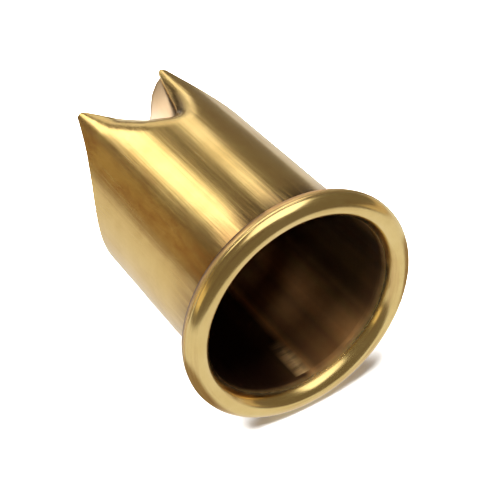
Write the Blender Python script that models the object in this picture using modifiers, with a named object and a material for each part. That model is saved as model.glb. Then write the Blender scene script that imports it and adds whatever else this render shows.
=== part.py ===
"""Brass mouthpiece cap: a short sheet-brass tube with a wired, rolled rim at its mouth and a
scooped, two-eared end that is closed by a soldered-in end wall.

The cap is built upright in its own tube frame: the tube's axis is local Z, the middle of the
rim bead is at z = 0, the ears point to +Z and the notch between them faces local +Y. An empty
then lays the whole cap on its side, resting on its rim and on the edge of its end wall.
"""

import math

import bpy
from mathutils import Matrix, Vector

MM = 0.001

# Driving dimensions, in metres
TUBE_RADIUS = 13.75 * MM
SHEET = 0.35 * MM
RIM_RADIUS = 16.95 * MM
END_WALL_HEIGHT = 30.0 * MM
EAR_HEIGHT = 43.5 * MM
EAR_TIP_HALF_ANGLE = math.radians(32.7)
NOTCH_BOTTOM = 31.2 * MM
NOTCH_DEPTH = 11.2 * MM
NOTCH_HALF_WIDTH = 6.0 * MM
NOTCH_POWER = 0.42
NOTCH_LEAN = 1.45 * MM
GAP = 0.1 * MM
REST_ROLL = math.radians(10.2)

# Worked out from them
BORE_RADIUS = TUBE_RADIUS - SHEET
BEAD_SECTION_RADIUS = (RIM_RADIUS - BORE_RADIUS) / 2
BEAD_RING_RADIUS = RIM_RADIUS - BEAD_SECTION_RADIUS
WIRE_RADIUS = BEAD_SECTION_RADIUS - SHEET - GAP
EAR_TIP_REACH = TUBE_RADIUS * math.cos(EAR_TIP_HALF_ANGLE)
EAR_TIP_HALF_WIDTH = TUBE_RADIUS * math.sin(EAR_TIP_HALF_ANGLE)

# The scoop is one parabola: flat across the tube's end, then swept up under the ears
SCOOP_START = Vector((0.8 * MM, END_WALL_HEIGHT))
SCOOP_CORNER = Vector((9.3 * MM, END_WALL_HEIGHT))
SCOOP_TIP = Vector((EAR_TIP_REACH, EAR_HEIGHT))

# The end wall's own V notch, as (half width, height) from its bottom out to the ear tips
WALL_NOTCH = [
    (0.0, 35.4 * MM),
    (1.7 * MM, 36.8 * MM),
    (3.5 * MM, 39.9 * MM),
    (5.0 * MM, 41.4 * MM),
    (6.8 * MM, 42.5 * MM),
]
WALL_NOTCH_LEAN = 1.1 * MM

TURN_STEPS = 72
WIRE_STEPS = 48
SCOOP_STEPS = 14
NOTCH_STEPS = 12
ARC_STEP = math.radians(20)
BEAD_ARC_STEPS = 15
WIRE_ARC_STEPS = 17
MERGE = 0.00001
SOLDER_SECTION_RADIUS = 0.35 * MM
SOLDER_TOP = 0.75
SOLDER_STEPS = 7
SOLDER_TURN_STEPS = 20
CLEAR = 5 * MM

BRASS = (0.70, 0.50, 0.20, 1.0)
PALE_BRASS = (0.74, 0.55, 0.26, 1.0)
STEEL = (0.45, 0.45, 0.46, 1.0)
SOLDER = (0.62, 0.60, 0.55, 1.0)


def clear_scene():
    for old in list(bpy.data.objects):
        bpy.data.objects.remove(old, do_unlink=True)


def new_collection(name):
    collection = bpy.data.collections.new(name)
    bpy.context.scene.collection.children.link(collection)
    return collection


def metal(name, colour, roughness):
    material = bpy.data.materials.new(name)
    material.use_nodes = True
    shader = material.node_tree.nodes["Principled BSDF"]
    shader.inputs["Base Color"].default_value = colour
    shader.inputs["Metallic"].default_value = 1.0
    shader.inputs["Roughness"].default_value = roughness
    return material


def add_object(name, data, collection, material=None):
    obj = bpy.data.objects.new(name, data)
    collection.objects.link(obj)
    if material is not None:
        data.materials.append(material)
    return obj


def turned(name, profile, steps, collection, material=None):
    """Turn a (radius, height) outline about local Z. It runs down its outer side first, and it is
    a closed ring unless it starts and ends on the axis.
    """
    count = len(profile)
    on_axis = profile[0][0] == 0.0
    mesh = bpy.data.meshes.new(name)
    points = [(radius, 0.0, height) for radius, height in profile]
    edges = [(i, (i + 1) % count) for i in range(count - on_axis)]
    mesh.from_pydata(points, edges, [])
    obj = add_object(name, mesh, collection, material)
    screw = obj.modifiers.new("turn", "SCREW")
    screw.axis = "Z"
    screw.angle = math.tau
    screw.steps = steps
    screw.render_steps = steps
    screw.use_merge_vertices = True
    screw.merge_threshold = MERGE
    screw.use_smooth_shade = True
    return obj


def mesh_from_curve(curve_object, collection, material=None):
    """Replace a curve object by its welded mesh, in the same place."""
    name = curve_object.name
    place = curve_object.matrix_world.copy()
    bpy.context.view_layer.update()
    graph = bpy.context.evaluated_depsgraph_get()
    mesh = bpy.data.meshes.new_from_object(curve_object.evaluated_get(graph))
    bpy.data.objects.remove(curve_object, do_unlink=True)
    obj = add_object(name, mesh, collection, material)
    obj.matrix_world = place
    weld = obj.modifiers.new("weld", "WELD")
    weld.merge_threshold = MERGE
    return obj


def extruded(name, outline, half_thickness, place, collection, material=None):
    """A flat closed outline, filled and thickened both ways along its own Z."""
    curve = bpy.data.curves.new(name, "CURVE")
    curve.dimensions = "2D"
    curve.fill_mode = "BOTH"
    curve.extrude = half_thickness
    spline = curve.splines.new("POLY")
    spline.points.add(len(outline) - 1)
    for point, (u, v) in zip(spline.points, outline):
        point.co = (u, v, 0.0, 1.0)
    spline.use_cyclic_u = True
    obj = add_object(name, curve, collection)
    obj.matrix_world = place
    return mesh_from_curve(obj, collection, material)


def as_cutter(obj):
    obj.hide_render = True
    obj.display_type = "WIRE"


def boolean(obj, operation, other):
    modifier = obj.modifiers.new(operation.lower(), "BOOLEAN")
    modifier.operation = operation
    modifier.solver = "EXACT"
    modifier.object = other
    return modifier


def scoop_point(t):
    """Point (reach towards the notch, height) on the scoop's parabola, t from 0 to 1."""
    first = SCOOP_START.lerp(SCOOP_CORNER, t)
    second = SCOOP_CORNER.lerp(SCOOP_TIP, t)
    return first.lerp(second, t)


def scoop_normal(t):
    """Unit normal of the scoop's parabola, pointing into the cap."""
    slope = (SCOOP_CORNER - SCOOP_START).lerp(SCOOP_TIP - SCOOP_CORNER, t).normalized()
    return Vector((slope.y, -slope.x))


def scoop_line(depth, far_reach):
    """The scoop's outline at a depth inside the end wall's outer face, from the tube's bottom up."""
    line = [(far_reach, END_WALL_HEIGHT - depth)]
    for i in range(SCOOP_STEPS + 1):
        t = i / SCOOP_STEPS
        point = scoop_point(t) + scoop_normal(t) * depth
        line.append((point.x, point.y))
    return line


def across_tube():
    """Places an outline drawn as (local Y, local Z), so that it is thickened along local X."""
    return Matrix(((0, 0, 1, 0), (1, 0, 0, 0), (0, 1, 0, 0), (0, 0, 0, 1)))


def through_notch(depth):
    """Places an outline drawn as (local X, local Z) in front of the axis, thickened along local Y."""
    return Matrix(((1, 0, 0, 0), (0, 0, -1, depth), (0, 1, 0, 0), (0, 0, 0, 1)))


def notch_outline():
    """Round-bottomed V whose half width grows by a power of the height, flared to the ear tips.

    It was filed by hand, so its bottom sits a little to one side of the middle.
    """
    right = []
    left = []
    for i in range(NOTCH_STEPS + 1):
        share = (i / NOTCH_STEPS) ** 2
        half_width = NOTCH_HALF_WIDTH * share**NOTCH_POWER
        middle = -NOTCH_LEAN * (1 - share)
        height = NOTCH_BOTTOM + NOTCH_DEPTH * share
        right.append((middle + half_width, height))
        left.append((middle - half_width, height))
    for height in (EAR_HEIGHT, EAR_HEIGHT + CLEAR):
        right.append((EAR_TIP_HALF_WIDTH - GAP, height))
        left.append((-EAR_TIP_HALF_WIDTH + GAP, height))
    return right + list(reversed(left[1:]))


def wall_notch_outline():
    """The end wall's V leans the other way, less and less towards the ear tips."""
    bottom = WALL_NOTCH[0][1]
    depth = WALL_NOTCH[-1][1] - bottom
    right = []
    left = []
    for half_width, height in WALL_NOTCH:
        middle = WALL_NOTCH_LEAN * (1 - (height - bottom) / depth)
        right.append((middle + half_width, height))
        left.append((middle - half_width, height))
    beyond = TUBE_RADIUS + CLEAR
    for height in (EAR_HEIGHT, EAR_HEIGHT + CLEAR):
        right.append((beyond, height))
        left.append((-beyond, height))
    return right + list(reversed(left[1:]))


def section_arc(radius, steps):
    """Bead section arc as (radius, height), from the bore round the front by a number of steps."""
    points = []
    for i in range(steps + 1):
        angle = -math.pi + ARC_STEP * i
        points.append((BEAD_RING_RADIUS + radius * math.cos(angle), radius * math.sin(angle)))
    return points


def build_tube(parts, cutters, material):
    profile = [
        (TUBE_RADIUS, EAR_HEIGHT + GAP),
        (TUBE_RADIUS, GAP),
        (BORE_RADIUS, GAP),
        (BORE_RADIUS, EAR_HEIGHT + GAP),
    ]
    tube = turned("tube_shell", profile, TURN_STEPS, parts, material)
    beyond = TUBE_RADIUS + CLEAR
    outline = scoop_line(0.0, -beyond) + [(EAR_TIP_REACH, EAR_HEIGHT + CLEAR), (-beyond, EAR_HEIGHT + CLEAR)]
    scoop = extruded("scoop_cutter", outline, beyond, across_tube(), cutters)
    notch = extruded("notch_cutter", notch_outline(), TUBE_RADIUS / 2, through_notch(TUBE_RADIUS), cutters)
    for cutter in (scoop, notch):
        as_cutter(cutter)
        boolean(tube, "DIFFERENCE", cutter)
    return tube


def build_end_wall(parts, cutters, material):
    inside = scoop_line(SHEET, -TUBE_RADIUS)
    outline = scoop_line(0.0, -TUBE_RADIUS) + list(reversed(inside))
    wall = extruded("end_wall", outline, TUBE_RADIUS, across_tube(), parts, material)
    fit = BORE_RADIUS - GAP
    top = EAR_HEIGHT + CLEAR
    core_profile = [(0.0, top), (fit, top), (fit, 0.0), (0.0, 0.0)]
    core = turned("bore_cutter", core_profile, TURN_STEPS, cutters)
    notch = extruded("wall_notch_cutter", wall_notch_outline(), TUBE_RADIUS, through_notch(0.0), cutters)
    for cutter, operation in ((core, "INTERSECT"), (notch, "DIFFERENCE")):
        as_cutter(cutter)
        boolean(wall, operation, cutter)
    return wall


def build_rim(parts, brass, steel, solder):
    """The bead runs from the tube's mouth round the wire to an open slit, which solder fills."""
    outer = section_arc(BEAD_SECTION_RADIUS, BEAD_ARC_STEPS)
    inner = section_arc(BEAD_SECTION_RADIUS - SHEET, BEAD_ARC_STEPS)
    turned("rim_bead", list(reversed(outer)) + inner, TURN_STEPS, parts, brass)
    section = section_arc(WIRE_RADIUS, WIRE_ARC_STEPS)
    turned("rim_wire", list(reversed(section)), WIRE_STEPS, parts, steel)
    slit_radius, slit_height = outer[-1]
    foot = TUBE_RADIUS + GAP
    lip = slit_radius - GAP
    fillet = [
        (foot, slit_height + SHEET),
        (lip, slit_height + GAP),
        (lip, slit_height - SHEET),
        (foot, slit_height - SHEET),
    ]
    turned("rim_solder", fillet, TURN_STEPS, parts, solder)


def solder_path(radius):
    """Middle of the solder bead in the corner between the end wall and the bore, ear to ear."""
    ring = BORE_RADIUS - GAP - radius
    depth = SHEET + GAP + radius
    side = []
    for i in range(SOLDER_STEPS + 1):
        t = SOLDER_TOP * (1 - i / SOLDER_STEPS)
        point = scoop_point(t) + scoop_normal(t) * depth
        side.append((math.sqrt(ring * ring - point.x * point.x), point.x, point.y))
    start_angle = math.atan2(side[-1][1], side[-1][0])
    sweep = math.pi + 2 * start_angle
    bottom = []
    for i in range(1, SOLDER_TURN_STEPS):
        angle = start_angle - sweep * i / SOLDER_TURN_STEPS
        bottom.append((ring * math.cos(angle), ring * math.sin(angle), END_WALL_HEIGHT - depth))
    mirrored = [(-x, y, z) for x, y, z in reversed(side)]
    return side + bottom + mirrored


def build_end_solder(parts, material):
    radius = SOLDER_SECTION_RADIUS
    curve = bpy.data.curves.new("end_wall_solder", "CURVE")
    curve.dimensions = "3D"
    curve.bevel_depth = radius
    curve.bevel_resolution = 2
    curve.use_fill_caps = True
    path = solder_path(radius)
    spline = curve.splines.new("POLY")
    spline.points.add(len(path) - 1)
    for point, position in zip(spline.points, path):
        point.co = (*position, 1.0)
    return add_object("end_wall_solder", curve, parts, material)


def lowest_and_middle(parts):
    """World height of the lowest point, and the middle of the pieces' extent along X and Y."""
    bpy.context.view_layer.update()
    graph = bpy.context.evaluated_depsgraph_get()
    points = []
    for obj in parts.objects:
        if obj.type != "EMPTY":
            solid = obj.evaluated_get(graph)
            points += [solid.matrix_world @ vertex.co for vertex in solid.to_mesh().vertices]
            solid.to_mesh_clear()
    middle = [(min(p[i] for p in points) + max(p[i] for p in points)) / 2 for i in (0, 1)]
    return Vector((middle[0], middle[1], min(p.z for p in points)))


def lay_on_side(parts, cutters):
    """Parent everything to one empty, which rolls the cap a little and lays it on its side.

    The cap then rests on its rim and on the lower edge of its closed end, at z = 0.
    """
    reach = math.hypot(END_WALL_HEIGHT, BEAD_RING_RADIUS - TUBE_RADIUS)
    drop = math.asin((BEAD_RING_RADIUS - TUBE_RADIUS) / reach) + math.asin(BEAD_SECTION_RADIUS / reach)
    frame = bpy.data.objects.new("cap_frame", None)
    parts.objects.link(frame)
    roll = Matrix.Rotation(math.pi - REST_ROLL, 4, "Z")
    lay = Matrix.Rotation(-math.pi / 2 - drop, 4, "X")
    frame.matrix_world = lay @ roll
    for obj in list(parts.objects) + list(cutters.objects):
        if obj is not frame:
            obj.parent = frame
    frame.location -= lowest_and_middle(parts)
    bpy.context.view_layer.update()


def main():
    clear_scene()
    parts = new_collection("brass_mouthpiece_cap")
    cutters = new_collection("cutters")
    brass = metal("tube_brass", BRASS, 0.28)
    wall_brass = metal("wall_brass", PALE_BRASS, 0.32)
    rim_brass = metal("rim_brass", BRASS, 0.22)
    steel = metal("wire_steel", STEEL, 0.4)
    solder = metal("solder", SOLDER, 0.35)
    build_tube(parts, cutters, brass)
    build_end_wall(parts, cutters, wall_brass)
    build_rim(parts, rim_brass, steel, solder)
    build_end_solder(parts, solder)
    lay_on_side(parts, cutters)


main()
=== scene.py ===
"""Looks of the brass mouthpiece cap: burnished, lengthwise-brushed sheet brass on a white table."""

import math

import bpy
from mathutils import Matrix, Vector


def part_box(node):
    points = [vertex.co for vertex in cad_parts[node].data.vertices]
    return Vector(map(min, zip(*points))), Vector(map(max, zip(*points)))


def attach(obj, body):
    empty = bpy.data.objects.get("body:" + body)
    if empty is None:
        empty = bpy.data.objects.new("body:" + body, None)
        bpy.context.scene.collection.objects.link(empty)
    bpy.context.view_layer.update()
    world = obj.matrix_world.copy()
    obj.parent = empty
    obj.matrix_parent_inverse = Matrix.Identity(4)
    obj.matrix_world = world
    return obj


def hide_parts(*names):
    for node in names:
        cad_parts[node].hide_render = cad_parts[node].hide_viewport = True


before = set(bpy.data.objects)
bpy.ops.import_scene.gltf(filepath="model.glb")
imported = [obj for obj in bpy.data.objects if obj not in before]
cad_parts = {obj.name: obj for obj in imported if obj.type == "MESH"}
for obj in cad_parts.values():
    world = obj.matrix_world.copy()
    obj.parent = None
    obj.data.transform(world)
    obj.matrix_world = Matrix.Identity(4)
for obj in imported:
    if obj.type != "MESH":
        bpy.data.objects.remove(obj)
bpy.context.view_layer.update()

MM = 0.001

# The cap's own dimensions, the same as the CAD model's
TUBE_RADIUS = 13.75 * MM
SHEET = 0.35 * MM
RIM_RADIUS = 16.95 * MM
END_WALL_HEIGHT = 30.0 * MM
EAR_HEIGHT = 43.5 * MM
EAR_TIP_HALF_ANGLE = math.radians(32.7)
EAR_TIP_FLAT = 0.1 * MM
REST_ROLL = math.radians(10.2)
BORE_RADIUS = TUBE_RADIUS - SHEET
BEAD_SECTION_RADIUS = (RIM_RADIUS - BORE_RADIUS) / 2
BEAD_RING_RADIUS = RIM_RADIUS - BEAD_SECTION_RADIUS
EAR_TIP_REACH = TUBE_RADIUS * math.cos(EAR_TIP_HALF_ANGLE)
EAR_TIP_HALF_WIDTH = TUBE_RADIUS * math.sin(EAR_TIP_HALF_ANGLE)
SCOOP_START = Vector((0.8 * MM, END_WALL_HEIGHT))
SCOOP_CORNER = Vector((9.3 * MM, END_WALL_HEIGHT))
SCOOP_TIP = Vector((EAR_TIP_REACH, EAR_HEIGHT))
# The end wall's V edge: half width and height, from its bottom up
WALL_NOTCH = [
    (0.0, 35.4 * MM),
    (1.7 * MM, 36.8 * MM),
    (3.5 * MM, 39.9 * MM),
    (5.0 * MM, 41.4 * MM),
    (6.8 * MM, 42.5 * MM),
]
WALL_NOTCH_LEAN = 1.1 * MM

# Fine shape that only the visual model has. The sheet is bent in all along the notch, so the
# notch's plan is drawn here at the bent edge.
BENT_NOTCH_BOTTOM = 31.0 * MM
BENT_NOTCH_DEPTH = 12.5 * MM
BENT_NOTCH_HALF_WIDTH = 6.6 * MM
BENT_NOTCH_POWERS = (0.57, 0.66)  # -X flank, +X flank
BENT_NOTCH_LEAN = 2.35 * MM
BENT_LEAN_POWER = 1.5
BEND_POWER = 2.0
BEND_SHARE_OF_EAR = 0.85
# Bend's reach into the sheet and its slope at the edge: +X flank, bottom, -X flank
BEND_REACH = (5.0 * MM, 4.0 * MM, 4.4 * MM)
BEND_ANGLE = (math.radians(43), math.radians(38), math.radians(38))
BEND_BOTTOM_SHARE = 0.25
BEND_LIMIT = 6 * MM
# The tube widens a little towards the bead
FLARE = 0.45 * MM
FLARE_REACH = 8.0 * MM
# Clearance that keeps touching pieces apart, and the depth of the rounded lip that stands for
# the first part of the bore
SEAM = 0.005 * MM
LIP_DEPTH = 1.3 * MM
BEAD_GROOVE = 0.07 * MM
BEAD_GROOVE_ANGLE = math.radians(-8)
BEAD_GROOVE_WIDTH = math.radians(4)

# How finely the shapes are divided
SAMPLE = 0.05 * MM
COLUMN_STEP = 6
CREASE_STEPS = 160
FLANK_STEPS = 120
TIP_SMOOTHING = 180
WALL_SMOOTHING = 160
STATION_STEP = 4
CREASE_STEP = 10
BEND_AVERAGING = 4
FAR_AWAY = 1e9
LOW_ROWS = (
    [LIP_DEPTH + SEAM, LIP_DEPTH + 3 * SEAM]
    + [i * MM for i in range(2, 9)]
    + [9.5 * MM, 12 * MM, 15 * MM, 18 * MM, 21 * MM]
)
BEND_START = 24 * MM
BEND_ROWS = 44
ROW_CROWDING = 1.3
EDGE_SOFTNESS = 0.12 * MM
WALL_EDGE_SOFTNESS = 0.1 * MM
WALL_COLUMNS = 120
WALL_LAST_ANGLE = math.radians(86)
WALL_FLAT_STEPS = 10
WALL_ARC_STEPS = 30
TINY_STEP = 1e-6
BEAD_STEPS = 150
BEAD_INNER_STEP = 5
BEAD_SWEEP = math.radians(300)
BEAD_COLUMNS = 240
SOLDER_COLUMNS = 160
SOLDER_FOOT = 1.5 * MM


def bead_middle():
    low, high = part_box("rim_wire")
    return (low + high) / 2


def local_to_world():
    """The tube frame (axis Z, bead's middle at the origin, notch towards +Y) laid on its side."""
    step = BEAD_RING_RADIUS - TUBE_RADIUS
    reach = math.hypot(END_WALL_HEIGHT, step)
    drop = math.asin(step / reach) + math.asin(BEAD_SECTION_RADIUS / reach)
    roll = Matrix.Rotation(math.pi - REST_ROLL, 4, "Z")
    lay = Matrix.Rotation(-math.pi / 2 - drop, 4, "X") @ roll
    return Matrix.Translation(bead_middle()) @ lay


PLACE = local_to_world()


# ---------------------------------------------------------------- shapes


def scoop_point(t):
    """The end wall's sweep towards an ear tip, a parabola of (reach, height)."""
    first = SCOOP_START.lerp(SCOOP_CORNER, t)
    second = SCOOP_CORNER.lerp(SCOOP_TIP, t)
    return first.lerp(second, t)


def scoop_normal(t):
    """Direction into the sheet, square to the sweep."""
    slope = (SCOOP_CORNER - SCOOP_START).lerp(SCOOP_TIP - SCOOP_CORNER, t).normalized()
    return Vector((slope.y, -slope.x))


def scoop_share(reach):
    """The parabola's parameter at a reach towards the notch, clamped to 0..1."""
    a = SCOOP_START.x - 2 * SCOOP_CORNER.x + SCOOP_TIP.x
    b = 2 * (SCOOP_CORNER.x - SCOOP_START.x)
    c = SCOOP_START.x - reach
    if c >= 0:
        return 0.0
    root = math.sqrt(max(b * b - 4 * a * c, 0.0))
    return min(max((-b + root) / (2 * a), 0.0), 1.0)


def scoop_share_at_height(height):
    """The parabola's parameter at a height."""
    rise = (height - END_WALL_HEIGHT) / (EAR_HEIGHT - END_WALL_HEIGHT)
    return math.sqrt(min(max(rise, 0.0), 1.0))


def resampled(line, spacing):
    """The same open polyline with evenly spaced points."""
    out = [line[0]]
    left = spacing
    for a, b in zip(line, line[1:]):
        step = b - a
        length = step.length
        done = 0.0
        while length - done >= left:
            done += left
            out.append(a + step * (done / length))
            left = spacing
        left -= length - done
    out.append(line[-1])
    return out


def smoothed(line, rounds):
    """The same polyline after rounds of 1-2-1 averaging; its ends stay."""
    for _ in range(rounds):
        inner = [(a + b * 2 + c) / 4 for a, b, c in zip(line, line[1:], line[2:])]
        line = [line[0]] + inner + [line[-1]]
    return line


def unroll(x):
    """Arc length on the tube at a distance across it."""
    return TUBE_RADIUS * math.asin(max(-1.0, min(1.0, x / TUBE_RADIUS)))


def tube_top_line():
    """Top edge of the tube, unrolled: (arc length from the notch's middle, height), once around.

    Also gives the range of its samples that are the notch, from ear tip to ear tip.
    """
    crease = []
    for i in range(CREASE_STEPS + 1):
        angle = EAR_TIP_HALF_ANGLE + (math.pi - EAR_TIP_HALF_ANGLE) * i / CREASE_STEPS
        height = scoop_point(scoop_share(TUBE_RADIUS * math.cos(angle))).y
        crease.append(Vector((TUBE_RADIUS * angle, height)))
    flanks = []
    for side, power in zip((-1, 1), BENT_NOTCH_POWERS):
        flank = []
        for i in range(FLANK_STEPS + 1):
            share = (i / FLANK_STEPS) ** 2
            half_width = BENT_NOTCH_HALF_WIDTH * share**power
            middle = -BENT_NOTCH_LEAN * (1 - share) ** BENT_LEAN_POWER
            height = BENT_NOTCH_BOTTOM + BENT_NOTCH_DEPTH * share
            flank.append(Vector((unroll(middle + side * half_width), height)))
        flank.append(Vector((unroll(side * (EAR_TIP_HALF_WIDTH - EAR_TIP_FLAT)), EAR_HEIGHT)))
        flanks.append(flank)
    left_crease = [Vector((-p.x, p.y)) for p in reversed(crease)]
    line = left_crease + list(reversed(flanks[0])) + flanks[1][1:] + crease
    line = smoothed(resampled(line, SAMPLE), TIP_SMOOTHING)
    tip = TUBE_RADIUS * EAR_TIP_HALF_ANGLE
    notch = [k for k, point in enumerate(line) if abs(point.x) < tip]
    return line, notch[0], notch[-1]


def moving_average(values, half):
    out = []
    for i in range(len(values)):
        window = values[max(0, i - half) : i + half + 1]
        out.append(sum(window) / len(window))
    return out


class Bend:
    """Depth of the inward bend along the notch, over the unrolled tube."""

    def __init__(self, line, first, last):
        self.stations = line[first : last + 1 : STATION_STEP]
        crease = line[:first:CREASE_STEP] + line[last::CREASE_STEP]
        lowest = min(range(len(self.stations)), key=lambda i: self.stations[i].y)
        reaches = []
        slopes = []
        for i, point in enumerate(self.stations):
            rise = (point.y - BENT_NOTCH_BOTTOM) / BENT_NOTCH_DEPTH
            blend = min(max(rise / BEND_BOTTOM_SHARE, 0.0), 1.0)
            blend = blend * blend * (3 - 2 * blend)
            flank = 0 if i > lowest else 2
            reach = BEND_REACH[1] + (BEND_REACH[flank] - BEND_REACH[1]) * blend
            angle = BEND_ANGLE[1] + (BEND_ANGLE[flank] - BEND_ANGLE[1]) * blend
            ear = min((point - other).length for other in crease)
            reaches.append(min(reach, BEND_SHARE_OF_EAR * ear))
            slopes.append(math.tan(angle))
        self.reaches = moving_average(reaches, BEND_AVERAGING)
        self.slopes = moving_average(slopes, BEND_AVERAGING)

    def at(self, arc, height):
        """(depth, slope) of the bent sheet at a place on the unrolled tube."""
        place = Vector((arc, height))
        if height < BENT_NOTCH_BOTTOM - BEND_LIMIT:
            return 0.0, 0.0
        best = FAR_AWAY
        near = 0
        for i, station in enumerate(self.stations):
            distance = (station - place).length_squared
            if distance < best:
                best = distance
                near = i
        away = math.sqrt(best)
        for other in (near - 1, near + 1):
            if 0 <= other < len(self.stations):
                step = self.stations[other] - self.stations[near]
                share = (place - self.stations[near]).dot(step) / step.length_squared
                share = min(max(share, 0.0), 1.0)
                away = min(away, (place - self.stations[near] - step * share).length)
        reach = self.reaches[near]
        if away >= reach:
            return 0.0, 0.0
        rest = 1 - away / reach
        slope = self.slopes[near]
        depth = slope * reach / (BEND_POWER + 1) * rest ** (BEND_POWER + 1)
        return depth, slope * rest**BEND_POWER


def on_tube(arc, height, radius):
    """Point at a radius from the axis, at a place on the unrolled tube."""
    angle = arc / TUBE_RADIUS
    return Vector((radius * math.sin(angle), radius * math.cos(angle), height))


def flare_at(height):
    rest = max(FLARE_REACH - height, 0.0) / FLARE_REACH
    return FLARE * rest * rest


def soft_corner(before, corner, after, size):
    """Three points that soften a corner between two directions."""
    a = corner + (before - corner).normalized() * min(size, (before - corner).length * 0.45)
    b = corner + (after - corner).normalized() * min(size, (after - corner).length * 0.45)
    return [a, (a + corner * 2 + b) / 4, b]


def tube_columns():
    """The tube's closed loops, up the outside and down the inside, and its cut edge's rows."""
    line, first, last = tube_top_line()
    bend = Bend(line, first, last)
    columns = []
    for k in range(0, len(line) - 1, COLUMN_STEP):
        top = line[k]
        shares = [1 - (1 - i / BEND_ROWS) ** ROW_CROWDING for i in range(BEND_ROWS + 1)]
        heights = LOW_ROWS + [BEND_START + (top.y - BEND_START) * s for s in shares]
        outer = []
        inner = []
        for height in heights:
            depth, slope = bend.at(top.x, height)
            outer.append(on_tube(top.x, height, TUBE_RADIUS + flare_at(height) - depth))
            slant = SHEET * (math.hypot(1, slope) - 1)
            inner.append(on_tube(top.x, height, BORE_RADIUS - depth - slant))
        inner.reverse()
        loop = outer[:-1] + soft_corner(outer[-2], outer[-1], inner[0], EDGE_SOFTNESS)
        edge_start = len(loop) - 3
        loop += soft_corner(outer[-1], inner[0], inner[1], EDGE_SOFTNESS)
        edge_end = len(loop)
        loop += inner[1:]
        columns.append(loop)
    return columns, (edge_start, edge_end)


def ring_mesh(name, columns, material_of_row, materials):
    """A watertight ring of closed loops, one loop per column."""
    count = len(columns[0])
    points = [tuple(p) for column in columns for p in column]
    faces = []
    rows = []
    for k in range(len(columns)):
        a = k * count
        b = ((k + 1) % len(columns)) * count
        for i in range(count):
            j = (i + 1) % count
            faces.append((a + i, a + j, b + j, b + i))
            rows.append(i)
    return make_mesh(name, points, faces, [material_of_row(r) for r in rows], materials)


def add_object(name, mesh):
    obj = bpy.data.objects.new(name, mesh)
    bpy.context.scene.collection.objects.link(obj)
    return obj


def make_mesh(name, points, faces, indices, materials):
    """A smooth-shaded piece in the tube frame, with a material index for each face."""
    mesh = bpy.data.meshes.new(name)
    mesh.from_pydata(points, [], faces)
    for material in materials:
        mesh.materials.append(material)
    for polygon, index in zip(mesh.polygons, indices):
        polygon.material_index = index
        polygon.use_smooth = True
    mesh.validate()
    obj = add_object(name, mesh)
    obj.matrix_world = PLACE
    weighted = obj.modifiers.new("weighted", "WEIGHTED_NORMAL")
    weighted.keep_sharp = True
    return obj


def build_tube(outside, inside, edge):
    columns, (edge_start, edge_end) = tube_columns()

    def material_of_row(row):
        if row < edge_start + 1:
            return 0
        return 2 if row < edge_end - 2 else 1

    materials = [outside, inside, edge]
    obj = ring_mesh("tube_shell_fine", columns, material_of_row, materials)
    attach(obj, "root")
    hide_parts("tube_shell")


def wall_top_line():
    """The end wall's V edge as (across, height), from one ear to the other."""
    bottom = WALL_NOTCH[0][1]
    depth = WALL_NOTCH[-1][1] - bottom
    flanks = []
    for side in (-1, 1):
        flank = []
        for half_width, height in WALL_NOTCH:
            middle = WALL_NOTCH_LEAN * (1 - (height - bottom) / depth)
            flank.append(Vector((middle + side * half_width, height)))
        flank.append(Vector((side * TUBE_RADIUS, EAR_HEIGHT)))
        flanks.append(flank)
    line = list(reversed(flanks[0])) + flanks[1][1:]
    return smoothed(resampled(line, SAMPLE), WALL_SMOOTHING)


def height_on(line, across):
    """Height of a polyline at a distance across the tube."""
    for a, b in zip(line, line[1:]):
        if a.x <= across <= b.x and b.x > a.x:
            return a.y + (b.y - a.y) * (across - a.x) / (b.x - a.x)
    return EAR_HEIGHT


def build_end_wall(outside, inside, edge):
    """The end wall: strips from its low edge up to the ears, one for each place across it."""
    fit = BORE_RADIUS - SEAM
    top_line = wall_top_line()
    columns = []
    for k in range(WALL_COLUMNS + 1):
        across = fit * math.sin(WALL_LAST_ANGLE * (2 * k / WALL_COLUMNS - 1))
        far = math.sqrt(fit * fit - across * across)
        top_share = scoop_share_at_height(height_on(top_line, across))
        top_share = min(scoop_share(far), top_share)
        outer = []
        inner = []
        for i in range(WALL_FLAT_STEPS):
            reach = -far + (min(SCOOP_START.x, far) + far) * i / WALL_FLAT_STEPS
            outer.append(Vector((reach, END_WALL_HEIGHT)))
            inner.append(Vector((reach, END_WALL_HEIGHT - SHEET)))
        for i in range(WALL_ARC_STEPS + 1):
            t = top_share * i / WALL_ARC_STEPS
            point = scoop_point(t)
            normal = scoop_normal(t)
            if far < SCOOP_START.x:
                # Too narrow here for the sweep: a flat end with tiny steps instead
                tiny = Vector((TINY_STEP * (WALL_ARC_STEPS - i), 0))
                point = Vector((far, END_WALL_HEIGHT)) - tiny
                normal = Vector((0, -1))
            outer.append(point)
            inner.append(point + normal * SHEET)
        inner.reverse()
        loop = outer[:-1] + soft_corner(outer[-2], outer[-1], inner[0], WALL_EDGE_SOFTNESS)
        loop += soft_corner(outer[-1], inner[0], inner[1], WALL_EDGE_SOFTNESS) + inner[1:]
        columns.append([Vector((across, p.x, p.y)) for p in loop])
    count = len(columns[0])
    points = [tuple(p) for column in columns for p in column]
    faces = []
    indices = []
    edge_start = WALL_FLAT_STEPS + WALL_ARC_STEPS
    edge_end = edge_start + 5
    for k in range(WALL_COLUMNS):
        a = k * count
        b = a + count
        for i in range(count):
            j = (i + 1) % count
            faces.append((a + i, b + i, b + j, a + j))
            indices.append(0 if i < edge_start else (2 if i < edge_end else 1))
    faces.append(tuple(range(count)))
    faces.append(tuple(reversed(range(WALL_COLUMNS * count, (WALL_COLUMNS + 1) * count))))
    indices += [0, 0]
    obj = make_mesh("end_wall_fine", points, faces, indices, [outside, inside, edge])
    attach(obj, "root")
    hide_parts("end_wall")


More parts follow.
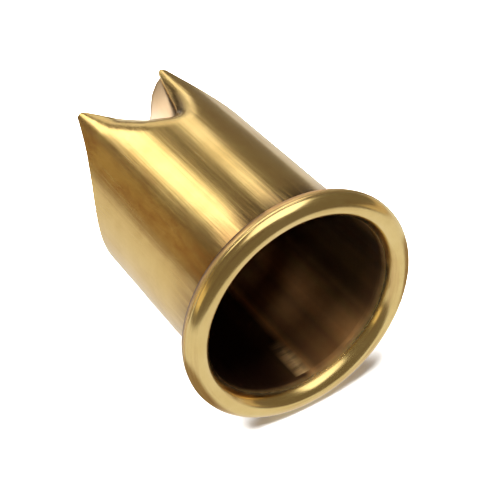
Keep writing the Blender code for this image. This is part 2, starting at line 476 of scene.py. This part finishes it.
def revolved(section, count, sense):
    """A section of (radius, height) turned round the axis, one loop for each of count angles."""
    columns = []
    for k in range(count):
        angle = sense * math.tau * k / count
        columns.append([Vector((r * math.sin(angle), r * math.cos(angle), z)) for r, z in section])
    return columns


def build_bead(material):
    """The rolled rim: a hollow C section, open at the back where it comes down to the tube."""
    section = []
    # The short first step keeps the shading crisp where the lip meets the bore
    for i in [0, 0.1] + list(range(1, BEAD_STEPS + 1)):
        angle = -math.pi + BEAD_SWEEP * i / BEAD_STEPS
        off_groove = (angle - BEAD_GROOVE_ANGLE) / BEAD_GROOVE_WIDTH
        radius = BEAD_SECTION_RADIUS - BEAD_GROOVE * math.exp(-(off_groove**2))
        z = radius * math.sin(angle)
        if angle < -math.pi / 2:
            z = LIP_DEPTH + (radius + LIP_DEPTH) * math.sin(angle)
        section.append((BEAD_RING_RADIUS + radius * math.cos(angle), z))
    radius = BEAD_SECTION_RADIUS - SHEET
    for i in range(BEAD_STEPS, -1, -BEAD_INNER_STEP):
        angle = -math.pi + BEAD_SWEEP * i / BEAD_STEPS
        section.append((BEAD_RING_RADIUS + radius * math.cos(angle), radius * math.sin(angle)))
    columns = revolved(section, BEAD_COLUMNS, 1)
    obj = ring_mesh("rim_bead_fine", columns, lambda row: 0, [material])
    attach(obj, "root")
    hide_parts("rim_bead")


def build_rim_solder(material):
    """Solder run into the slit behind the bead, drawn up into a small hollow fillet."""
    slit_radius = BEAD_RING_RADIUS - BEAD_SECTION_RADIUS / 2
    slit_height = BEAD_SECTION_RADIUS * math.sin(math.radians(120))
    section = [
        (TUBE_RADIUS + flare_at(SOLDER_FOOT) + SEAM, SOLDER_FOOT),
        (TUBE_RADIUS + flare_at(3.2 * MM) + SEAM, 3.2 * MM),
        (TUBE_RADIUS + flare_at(2.6 * MM) + 0.05 * MM, 2.6 * MM),
        (TUBE_RADIUS + flare_at(2.2 * MM) + 0.12 * MM, 2.25 * MM),
        (slit_radius + 0.02 * MM, slit_height + 0.42 * MM),
        (slit_radius + 0.35 * MM, slit_height + 0.16 * MM),
        (slit_radius + 0.02 * MM, slit_height + 0.03 * MM),
        (slit_radius - 0.02 * MM, SOLDER_FOOT),
    ]
    columns = revolved(section, SOLDER_COLUMNS, -1)
    obj = ring_mesh("rim_solder_fine", columns, lambda row: 0, [material])
    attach(obj, "root")
    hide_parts("rim_solder")


# ---------------------------------------------------------------- materials


class Nodes:
    """Short calls for building one material's node tree."""

    def __init__(self, name):
        self.material = bpy.data.materials.new(name)
        self.material.use_nodes = True
        self.tree = self.material.node_tree
        self.shader = self.tree.nodes["Principled BSDF"]

    def node(self, kind, **settings):
        node = self.tree.nodes.new(kind)
        for key, value in settings.items():
            setattr(node, key, value)
        return node

    def link(self, source, target):
        self.tree.links.new(source, target)

    def coordinates(self, scale):
        """Object coordinates, stretched by a scale for each axis."""
        place = self.node("ShaderNodeTexCoord")
        mapping = self.node("ShaderNodeMapping")
        mapping.inputs["Scale"].default_value = scale
        self.link(place.outputs["Object"], mapping.inputs["Vector"])
        return mapping.outputs["Vector"]

    def noise(self, scale, detail, roughness, stretch=(1.0, 1.0, 1.0)):
        texture = self.node("ShaderNodeTexNoise")
        texture.inputs["Scale"].default_value = scale
        texture.inputs["Detail"].default_value = detail
        texture.inputs["Roughness"].default_value = roughness
        self.link(self.coordinates(stretch), texture.inputs["Vector"])
        return texture.outputs["Fac"]

    def ring_noise(self, scale, detail, roughness, along=0.0005):
        """Noise drawn out round the tube's axis: fine across the section, long around the ring."""
        place = self.node("ShaderNodeTexCoord")
        separate = self.node("ShaderNodeSeparateXYZ")
        self.link(place.outputs["Object"], separate.inputs["Vector"])
        flat = self.node("ShaderNodeCombineXYZ")
        self.link(separate.outputs["X"], flat.inputs["X"])
        self.link(separate.outputs["Y"], flat.inputs["Y"])
        radius = self.node("ShaderNodeVectorMath", operation="LENGTH")
        self.link(flat.outputs["Vector"], radius.inputs[0])
        towards = self.node("ShaderNodeVectorMath", operation="NORMALIZE")
        self.link(flat.outputs["Vector"], towards.inputs[0])
        scaled = self.node("ShaderNodeVectorMath", operation="SCALE")
        scaled.inputs["Scale"].default_value = along
        self.link(towards.outputs["Vector"], scaled.inputs[0])
        across = self.node("ShaderNodeCombineXYZ")
        self.link(radius.outputs["Value"], across.inputs["Z"])
        place_on_ring = self.node("ShaderNodeVectorMath", operation="ADD")
        self.link(scaled.outputs["Vector"], place_on_ring.inputs[0])
        self.link(across.outputs["Vector"], place_on_ring.inputs[1])
        texture = self.node("ShaderNodeTexNoise", noise_dimensions="4D")
        texture.inputs["Scale"].default_value = scale
        texture.inputs["Detail"].default_value = detail
        texture.inputs["Roughness"].default_value = roughness
        self.link(place_on_ring.outputs["Vector"], texture.inputs["Vector"])
        self.link(separate.outputs["Z"], texture.inputs["W"])
        return texture.outputs["Fac"]

    def axis(self, name):
        """One of the object coordinates, X, Y or Z."""
        place = self.node("ShaderNodeTexCoord")
        separate = self.node("ShaderNodeSeparateXYZ")
        self.link(place.outputs["Object"], separate.inputs["Vector"])
        return separate.outputs[name]

    def radius(self):
        """Distance from the object's own Z axis."""
        place = self.node("ShaderNodeTexCoord")
        flat = self.node("ShaderNodeVectorMath", operation="MULTIPLY")
        flat.inputs[1].default_value = (1.0, 1.0, 0.0)
        self.link(place.outputs["Object"], flat.inputs[0])
        length = self.node("ShaderNodeVectorMath", operation="LENGTH")
        self.link(flat.outputs["Vector"], length.inputs[0])
        return length.outputs["Value"]

    def math(self, operation, first, second):
        """A Math node on two values, each a number or another node's output."""
        node = self.node("ShaderNodeMath", operation=operation)
        for socket, value in zip(node.inputs, (first, second)):
            if isinstance(value, (int, float)):
                socket.default_value = value
            else:
                self.link(value, socket)
        return node.outputs["Value"]

    def tint(self, colour, share):
        """Blend the base colour made so far towards another colour by a share."""
        base = self.shader.inputs["Base Color"]
        mix = self.node("ShaderNodeMix", data_type="RGBA")
        self.link(base.links[0].from_socket, mix.inputs[6])
        mix.inputs[7].default_value = (*colour, 1.0)
        self.link(share, mix.inputs[0])
        self.link(mix.outputs[2], base)

    def ramp(self, source, stops):
        """Colours along a value, from stops of (position, colour)."""
        ramp = self.node("ShaderNodeValToRGB")
        elements = ramp.color_ramp.elements
        while len(elements) < len(stops):
            elements.new(0.5)
        for element, (position, colour) in zip(elements, stops):
            element.position = position
            element.color = (*colour, 1.0)
        self.link(source, ramp.inputs["Fac"])
        return ramp.outputs["Color"]

    def spread(self, source, low, high, from_low=0.3, from_high=0.7):
        """Map a value from one range to low..high, clamped."""
        ranged = self.node("ShaderNodeMapRange")
        ranged.inputs["From Min"].default_value = from_low
        ranged.inputs["From Max"].default_value = from_high
        ranged.inputs["To Min"].default_value = low
        ranged.inputs["To Max"].default_value = high
        self.link(source, ranged.inputs["Value"])
        return ranged.outputs["Result"]

    def fade(self, source, full, none, strength=1.0):
        """A share that is strength where the source is at full, and 0 where it is at none."""
        return self.spread(source, strength, 0.0, full, none)

    def times(self, first, second):
        return self.math("MULTIPLY", first, second)

    def bump(self, height, strength, distance, before=None):
        bump = self.node("ShaderNodeBump")
        bump.inputs["Strength"].default_value = strength
        bump.inputs["Distance"].default_value = distance
        self.link(height, bump.inputs["Height"])
        if before is not None:
            self.link(before, bump.inputs["Normal"])
        return bump.outputs["Normal"]

    def tangent(self):
        """Direction round the object's own Z axis."""
        tangent = self.node("ShaderNodeTangent")
        tangent.direction_type = "RADIAL"
        tangent.axis = "Z"
        return tangent.outputs["Tangent"]


# Which way a brass is brushed: the stretch of its noise in X, Y and Z, or round the axis
LENGTHWISE = (1.0, 1.0, 0.02)
NEARLY_LENGTHWISE = (1.0, 1.0, 0.012)
BLOTCHY = (1.0, 1.0, 0.3)
ACROSS_X = (0.15, 1.0, 1.0)
ALONG_WALL = (1.0, 0.05, 0.05)
ALONG_WALL_SOFTLY = (1.0, 0.2, 0.2)
EVEN = (1.0, 1.0, 1.0)
AROUND = "around the axis"

NEAR_BEAD_DARK_STREAKS = (0.03, 0.018, 0.007)
PAINTED_BORE_SHADE = (0.03, 0.012, 0.006)
PAINTED_BAND_DARK = (0.14, 0.06, 0.025)
PAINTED_EAR_SHADE = (0.15, 0.09, 0.035)
PAINTED_RIM_SHADE = (0.30, 0.17, 0.07)
REDDISH = (0.50, 0.25, 0.08)
BORE_PALE = (0.74, 0.38, 0.13)
BORE_DEEP = (0.58, 0.27, 0.085)
PAINTED_SHEEN_COLOUR = (0.95, 0.64, 0.28)
RIM_MOTTLE = (0.55, 0.33, 0.14)
WALL_SHADE = (0.70, 0.50, 0.29)
WALL_CORNER_SHADE = (0.10, 0.06, 0.03)

# Across the bore from the -X side (0) to the +X side (1): the share of painted shade, and the band
# of painted sheen
PAINTED_BORE_SHADE_SHARES = [
    (0.0, 0.92),
    (0.15, 0.62),
    (0.265, 0.0),
    (0.33, 0.5),
    (0.47, 0.55),
    (0.507, 0.2),
    (0.55, 0.9),
    (0.72, 1.0),
]
PAINTED_SHEEN_BAND = [(0.50, 0.0), (0.545, 1.0), (0.60, 0.0)]

# The bore is dulled by tarnish, so it isn't fully metallic, and the lip comes close to it
BORE_METALLIC = 0.82
LIP_METALLIC_LOSS = 0.2
LIP_ADDED_ROUGHNESS = 0.25


def brass(name, pale, deep, roughness, stretch, streak_height, anisotropy):
    """Brushed brass: stretched streaks in bump and roughness, and an uneven colour."""
    n = Nodes(name)
    if stretch == AROUND:
        fine = n.ring_noise(5200, 3.0, 0.65)
        coarse = n.ring_noise(1800, 3.0, 0.6)
    else:
        fine = n.noise(2600, 3.0, 0.65, stretch)
        coarse = n.noise(700, 3.0, 0.6, stretch)
    cloud = n.noise(120, 4.0, 0.55)
    colour = n.ramp(cloud, [(0.32, deep), (0.62, pale)])
    n.link(colour, n.shader.inputs["Base Color"])
    rough = n.node("ShaderNodeMath", operation="ADD")
    n.link(n.spread(fine, -0.05, 0.05), rough.inputs[0])
    n.link(n.spread(cloud, roughness + 0.03, roughness - 0.03), rough.inputs[1])
    n.link(rough.outputs["Value"], n.shader.inputs["Roughness"])
    n.shader.inputs["Metallic"].default_value = 1.0
    n.shader.inputs["Anisotropic"].default_value = anisotropy
    if anisotropy:
        n.link(n.tangent(), n.shader.inputs["Tangent"])
    first = n.bump(fine, 0.5, streak_height)
    second = n.bump(coarse, 0.6, streak_height * 2, first)
    n.link(second, n.shader.inputs["Normal"])
    return n


def across_bore(n, stops):
    """A share that changes across the bore, from stops of (place, share)."""
    across = n.spread(n.axis("X"), 0.0, 1.0, -BORE_RADIUS, BORE_RADIUS)
    return n.ramp(across, [(place, (share, share, share)) for place, share in stops])


def painted_reflection_bands(n):
    """Broad uneven bands along the bore, a painted reflection of dark surroundings."""
    return n.spread(n.noise(230, 2.0, 0.5, LENGTHWISE), 0.0, 0.5, 0.40, 0.62)


def outer_brass():
    """Tube outside: painted shade and dark streaks near the bead, blotched on its +X side, painted
    shade by one ear.
    """
    pale, deep = (0.80, 0.59, 0.235), (0.72, 0.51, 0.18)
    n = brass("brushed_brass", pale, deep, 0.22, LENGTHWISE, 0.022 * MM, 0.4)
    x = n.axis("X")
    z = n.axis("Z")
    # Painted shade: warm brown streaks that darken the tube towards the bead, where its highlights
    # fade
    streaks = n.spread(n.noise(420, 3.0, 0.6, LENGTHWISE), 0.35, 1.0, 0.35, 0.62)
    n.tint(PAINTED_RIM_SHADE, n.times(streaks, n.fade(z, 3.0 * MM, 10.5 * MM, 0.9)))
    # Near-black streaks close to the bead, fewer towards the +X side
    feathers = n.spread(n.noise(900, 3.0, 0.65, NEARLY_LENGTHWISE), 0.0, 1.0, 0.42, 0.54)
    feathers = n.times(feathers, n.spread(x, 1.0, 0.25, -3.0 * MM, 7.0 * MM))
    n.tint(NEAR_BEAD_DARK_STREAKS, n.times(feathers, n.fade(z, 2.8 * MM, 7.5 * MM)))
    blotches = n.spread(n.noise(330, 6.0, 0.68, BLOTCHY), 0.0, 0.75, 0.42, 0.66)
    blotches = n.times(blotches, n.spread(x, 1.0, 0.12, 9.6 * MM, 11.8 * MM))
    n.tint(REDDISH, n.times(blotches, n.spread(x, 0.15, 1.0, 4.0 * MM, 8.0 * MM)))
    # Painted shade: a dark strip where the sheet bends in along the notch, on its -X side
    bent_in = n.fade(n.radius(), TUBE_RADIUS - 0.60 * MM, TUBE_RADIUS - 0.22 * MM)
    n.tint(PAINTED_EAR_SHADE, n.times(bent_in, n.fade(x, -3.4 * MM, -2.2 * MM, 0.85)))
    return n.material


def inner_brass():
    """The bore: painted shade across it and painted reflection bands along it, with a painted sheen
    patch just inside the mouth.
    """
    n = brass("bore_brass", BORE_PALE, BORE_DEEP, 0.42, LENGTHWISE, 0.02 * MM, 0.85)
    n.shader.inputs["Metallic"].default_value = BORE_METALLIC
    # Painted reflection: dark lengthwise bands
    n.tint(PAINTED_BAND_DARK, painted_reflection_bands(n))
    # Painted sheen: a bright streaky patch just inside the mouth, where the bore catches light
    near_mouth = n.fade(n.axis("Z"), 5.0 * MM, 9.0 * MM)
    sheen_streaks = n.spread(n.noise(900, 3.0, 0.6, ACROSS_X), 0.3, 1.0, 0.40, 0.60)
    painted_sheen = n.times(n.times(near_mouth, across_bore(n, PAINTED_SHEEN_BAND)), sheen_streaks)
    outside_sheen = n.math("SUBTRACT", 1.0, painted_sheen)
    # Painted shade: near black across most of the bore, lighter in two bands, kept off the painted
    # sheen
    n.tint(PAINTED_BORE_SHADE, n.times(across_bore(n, PAINTED_BORE_SHADE_SHARES), outside_sheen))
    n.tint(PAINTED_SHEEN_COLOUR, painted_sheen)
    return n.material


def painted_wall_inside():
    """The end wall's inner face: painted paler than the rest as a painted reflection, in painted
    shade on its -X side and in its corner.
    """
    # Painted reflection: near-white brass that stands in for the brightly lit inner face
    pale, deep = (0.97, 0.90, 0.81), (0.95, 0.85, 0.73)
    n = brass("end_wall_inside", pale, deep, 0.36, ALONG_WALL_SOFTLY, 0.004 * MM, 0.0)
    # Painted shade on the -X side and in the corner where the wall meets the tube
    n.tint(WALL_SHADE, n.fade(n.axis("X"), -3.0 * MM, 2.5 * MM, 0.9))
    n.tint(WALL_CORNER_SHADE, n.fade(n.axis("Z"), 29.6 * MM, 31.0 * MM))
    return n.material


def rim_brass():
    """The polished bead, turning into the bore's colour and dullness down its inner lip, with the
    bore's painted shade and reflection bands.
    """
    pale, deep = (0.83, 0.65, 0.29), (0.75, 0.56, 0.22)
    n = brass("rim_brass_polished", pale, deep, 0.20, AROUND, 0.012 * MM, 0.0)
    n.tint(RIM_MOTTLE, n.spread(n.ring_noise(900, 4.0, 0.6, 0.0012), 0.0, 0.4, 0.52, 0.68))
    into_bore = n.spread(n.axis("Z"), 0.0, 1.0, -0.3 * MM, 0.9 * MM)
    n.tint(BORE_PALE, into_bore)
    # Painted reflection bands and painted shade of the bore, carried onto the lip
    n.tint(PAINTED_BAND_DARK, n.times(painted_reflection_bands(n), into_bore))
    n.tint(PAINTED_BORE_SHADE, n.times(across_bore(n, PAINTED_BORE_SHADE_SHARES), into_bore))
    rough = n.shader.inputs["Roughness"].links[0].from_socket
    rougher = n.math("ADD", rough, n.times(into_bore, LIP_ADDED_ROUGHNESS))
    n.link(rougher, n.shader.inputs["Roughness"])
    metallic = n.math("SUBTRACT", 1.0, n.times(into_bore, LIP_METALLIC_LOSS))
    n.link(metallic, n.shader.inputs["Metallic"])
    return n.material


# The plain ones: name, paler and deeper colour, roughness, brushing, height of its streaks
PLAIN_METALS = {
    "cut_edge_brass": ((0.86, 0.66, 0.32), (0.78, 0.56, 0.24), 0.30, EVEN, 0.01 * MM),
    "end_wall_brass": ((0.86, 0.66, 0.36), (0.78, 0.56, 0.28), 0.32, ALONG_WALL, 0.02 * MM),
    "silver_solder": ((0.80, 0.66, 0.42), (0.66, 0.52, 0.32), 0.30, EVEN, 0.02 * MM),
    "wire_steel_dull": ((0.45, 0.45, 0.46), (0.36, 0.35, 0.35), 0.40, EVEN, 0.01 * MM),
}
plain = {name: brass(name, *look, 0.0).material for name, look in PLAIN_METALS.items()}


def give_material(node, material):
    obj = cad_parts[node]
    for slot in obj.material_slots:
        slot.material = material


build_tube(outer_brass(), inner_brass(), plain["cut_edge_brass"])
build_end_wall(plain["end_wall_brass"], painted_wall_inside(), plain["cut_edge_brass"])
build_bead(rim_brass())
build_rim_solder(plain["silver_solder"])
give_material("rim_wire", plain["wire_steel_dull"])
give_material("end_wall_solder", plain["silver_solder"])


# ---------------------------------------------------------------- stage


# The floor is at height 0 and the object's middle is near this point
MIDDLE = Vector((0.0, 0.0, 0.02))
FLOOR_RADIUS = 3.0
FLOOR_SEGMENTS = 96
BACKDROP_LOW = -0.2
BACKDROP_HIGH = 4.0
BACKDROP_SEGMENTS = 48
PANEL_DISTANCE = 0.5  # for all panels but the low one

# The table that the brass mirrors: a pale disc with two shaded patches close round the object
MIRRORED_RADIUS = 0.135
SHADES = (
    ((-0.023, -0.019, 0.0), (0.009, 0.012, 1.0)),
    ((0.041, -0.026, 0.0), (0.013, 0.013, 1.0)),
)
SHADE_COLOUR = (0.34, 0.25, 0.16)
PALE_COLOUR = (0.86, 0.83, 0.80)
FAR_PAPER_AZIMUTH = math.radians(14)
FAR_PAPER_HALF_ANGLE = math.radians(9)
FAR_PAPER_DISTANCES = (0.09, 0.45)
FAR_PAPER_DROP = 0.0002


def direction(azimuth, elevation):
    """Unit vector: azimuth from +Y towards +X, elevation above the floor, in degrees."""
    az = math.radians(azimuth)
    el = math.radians(elevation)
    return Vector((math.sin(az) * math.cos(el), math.cos(az) * math.cos(el), math.sin(el)))


def facing_middle(azimuth, elevation, distance):
    """The place of something that faces the object's middle from a direction."""
    towards = direction(azimuth, elevation)
    turn = towards.to_track_quat("Z", "Y").to_matrix().to_4x4()
    return Matrix.Translation(MIDDLE + towards * distance) @ turn


def add_stage(name, points, faces, material):
    """A mesh that is part of the stage, not of the object."""
    mesh = bpy.data.meshes.new(name)
    mesh.from_pydata(points, [], faces)
    mesh.materials.append(material)
    obj = add_object(name, mesh)
    return obj


def only_in_reflections(obj):
    obj.visible_camera = False
    obj.visible_diffuse = False
    obj.visible_shadow = False


def disc(name, radius, material):
    """A flat disc on the floor."""
    points = []
    for k in range(FLOOR_SEGMENTS):
        angle = math.tau * k / FLOOR_SEGMENTS
        points.append((radius * math.cos(angle), radius * math.sin(angle), 0.0))
    return add_stage(name, points, [tuple(range(FLOOR_SEGMENTS))], material)


def white_table():
    """A white table that the camera sees, glowing more far away, where the light falls off."""
    n = Nodes("white_table")
    n.shader.inputs["Base Color"].default_value = (0.9, 0.9, 0.9, 1.0)
    n.shader.inputs["Roughness"].default_value = 0.6
    n.shader.inputs["Specular IOR Level"].default_value = 0.2
    n.shader.inputs["Emission Color"].default_value = (1.0, 0.92, 0.84, 1.0)
    glow_strength = n.spread(n.radius(), 0.10, 1.3, 0.6, 1.8)
    n.link(glow_strength, n.shader.inputs["Emission Strength"])
    disc("table", FLOOR_RADIUS, n.material).visible_glossy = False


def mirrored_table_material():
    """The table's brightness in reflections: pale, and in warm shade in two patches."""
    n = Nodes("mirrored_table")
    n.tree.nodes.clear()
    place = n.node("ShaderNodeTexCoord")
    nearest = n.node("ShaderNodeMath", operation="MINIMUM")
    for slot, (middle, radii) in enumerate(SHADES):
        mapping = n.node("ShaderNodeMapping", vector_type="TEXTURE")
        mapping.inputs["Location"].default_value = middle
        mapping.inputs["Scale"].default_value = radii
        n.link(place.outputs["Object"], mapping.inputs["Vector"])
        length = n.node("ShaderNodeVectorMath", operation="LENGTH")
        n.link(mapping.outputs["Vector"], length.inputs[0])
        n.link(length.outputs["Value"], nearest.inputs[slot])
    # Halved, so that the ramp's 0..1 reaches out to twice each patch's radii
    halved = n.times(nearest.outputs["Value"], 0.5)
    emission = n.node("ShaderNodeEmission")
    n.link(n.ramp(halved, [(0.45, SHADE_COLOUR), (0.70, PALE_COLOUR)]), emission.inputs["Color"])
    output = n.node("ShaderNodeOutputMaterial")
    n.link(emission.outputs["Emission"], output.inputs["Surface"])
    return n.material


def far_paper(material):
    """A strip of white paper that reaches further behind the object, seen only in reflections."""
    points = []
    for distance in FAR_PAPER_DISTANCES:
        for side in (-FAR_PAPER_HALF_ANGLE, FAR_PAPER_HALF_ANGLE):
            angle = FAR_PAPER_AZIMUTH + side
            x = distance * math.sin(angle)
            y = distance * math.cos(angle)
            points.append((x, y, -FAR_PAPER_DROP))
    only_in_reflections(add_stage("far_paper", points, [(0, 1, 3, 2)], material))


def backdrop():
    """A pale backdrop that only the camera sees, for low views over the table's edge."""
    points = []
    faces = []
    for k in range(BACKDROP_SEGMENTS):
        angle = math.tau * k / BACKDROP_SEGMENTS
        for z in (BACKDROP_LOW, BACKDROP_HIGH):
            points.append((FLOOR_RADIUS * math.cos(angle), FLOOR_RADIUS * math.sin(angle), z))
        a = 2 * k
        b = 2 * ((k + 1) % BACKDROP_SEGMENTS)
        faces.append((a, b, b + 1, a + 1))
    faces.append(tuple(2 * k + 1 for k in range(BACKDROP_SEGMENTS)))
    n = Nodes("pale_backdrop")
    n.shader.inputs["Base Color"].default_value = (0, 0, 0, 1)
    n.shader.inputs["Emission Color"].default_value = (1, 1, 1, 1)
    n.shader.inputs["Emission Strength"].default_value = 1.0
    obj = add_stage("backdrop", points, faces, n.material)
    obj.visible_glossy = False
    obj.visible_diffuse = False
    obj.visible_shadow = False
    obj.visible_transmission = False


def glow(name, colour, strength, soft_from, soft_to):
    """Emission that fades from a panel's middle to its edge."""
    n = Nodes(name)
    n.tree.nodes.clear()
    fades = []
    for axis in ("X", "Y"):
        size = n.node("ShaderNodeMath", operation="ABSOLUTE")
        n.link(n.axis(axis), size.inputs[0])
        fade = n.node("ShaderNodeMapRange", interpolation_type="SMOOTHSTEP")
        fade.inputs["From Min"].default_value = soft_from
        fade.inputs["From Max"].default_value = soft_to
        fade.inputs["To Min"].default_value = 1.0
        fade.inputs["To Max"].default_value = 0.0
        n.link(size.outputs["Value"], fade.inputs["Value"])
        fades.append(fade.outputs["Result"])
    share = n.times(*fades)
    emission = n.node("ShaderNodeEmission")
    emission.inputs["Color"].default_value = (*colour, 1.0)
    n.link(n.times(share, strength), emission.inputs["Strength"])
    clear = n.node("ShaderNodeBsdfTransparent")
    mix = n.node("ShaderNodeMixShader")
    n.link(share, mix.inputs["Fac"])
    n.link(clear.outputs["BSDF"], mix.inputs[1])
    n.link(emission.outputs["Emission"], mix.inputs[2])
    output = n.node("ShaderNodeOutputMaterial")
    n.link(mix.outputs["Shader"], output.inputs["Surface"])
    return n.material


def panel(name, place, width, height, colour, strength, softness=0.35):
    """A glowing panel that shows only in reflections, at (azimuth, elevation, distance)."""
    half = 0.5
    points = [(-half, -half, 0), (half, -half, 0), (half, half, 0), (-half, half, 0)]
    material = glow(name + "_glow", colour, strength, half * (1 - softness), half)
    obj = add_stage(name, points, [(0, 1, 2, 3)], material)
    obj.matrix_world = facing_middle(*place) @ Matrix.Diagonal((width, height, 1, 1))
    only_in_reflections(obj)


def key_light():
    """The soft light that gives the shadow. The panels stand for it in reflections."""
    data = bpy.data.lights.new("key_soft", "AREA")
    data.shape = "DISK"
    data.size = 0.75
    data.energy = 52.0
    obj = bpy.data.objects.new("key_soft", data)
    bpy.context.scene.collection.objects.link(obj)
    obj.matrix_world = facing_middle(-55, 76, 0.8)
    obj.visible_glossy = False


white_table()
mirrored = mirrored_table_material()
only_in_reflections(disc("mirrored_table", MIRRORED_RADIUS, mirrored))
far_paper(mirrored)
backdrop()
key_light()
panel("window_left", (-18, 31, PANEL_DISTANCE), 0.20, 0.26, (1.0, 0.97, 0.88), 2.6)
panel("window_right", (26, 25, PANEL_DISTANCE), 0.13, 0.28, (1.0, 0.94, 0.85), 1.5)
panel("overhead", (110, 84, PANEL_DISTANCE), 0.56, 0.56, (1.0, 0.96, 0.90), 2.0, softness=0.25)
panel("behind_gap", (12, 18, PANEL_DISTANCE), 0.17, 0.28, (1.0, 0.94, 0.82), 0.95)
panel("window_left_low", (-13, 13, PANEL_DISTANCE), 0.15, 0.11, (1.0, 0.96, 0.85), 2.2)
panel("window_right_low", (23, 9, PANEL_DISTANCE), 0.16, 0.09, (1.0, 0.93, 0.82), 1.0, softness=0.5)
panel("warm_left", (-42, 5, PANEL_DISTANCE), 0.22, 0.26, (1.0, 0.72, 0.36), 0.42)
panel("amber_left", (-84, 11, PANEL_DISTANCE), 0.62, 0.20, (1.0, 0.80, 0.45), 1.0)
panel("low_right", (102, -2, 0.14), 0.22, 0.035, (1.0, 0.80, 0.52), 0.7)

world = bpy.data.worlds.new("surroundings")
world.use_nodes = True
world.node_tree.nodes["Background"].inputs["Color"].default_value = (0.20, 0.165, 0.12, 1.0)
world.node_tree.nodes["Background"].inputs["Strength"].default_value = 1.0
bpy.context.scene.world = world
bpy.context.scene.view_settings.view_transform = "Standard"


# ---------------------------------------------------------------- camera

CAMERA_FROM_BEAD = Vector((-62.041, -88.045, 113.474)) * MM
CAMERA_PITCH = math.radians(43.872)
CAMERA_TURN = math.radians(31.798)
SENSOR = 36.0
FOCAL_SHARE = 2.44933

camera_data = bpy.data.cameras.new("camera")
camera_data.sensor_width = SENSOR
camera_data.lens = SENSOR * FOCAL_SHARE
camera_data.clip_start = 0.005
camera_data.clip_end = 20.0
camera = bpy.data.objects.new("camera", camera_data)
bpy.context.scene.collection.objects.link(camera)
camera.location = bead_middle() + CAMERA_FROM_BEAD
camera.rotation_euler = (math.pi / 2 - CAMERA_PITCH, 0.0, -CAMERA_TURN)
bpy.context.scene.camera = camera
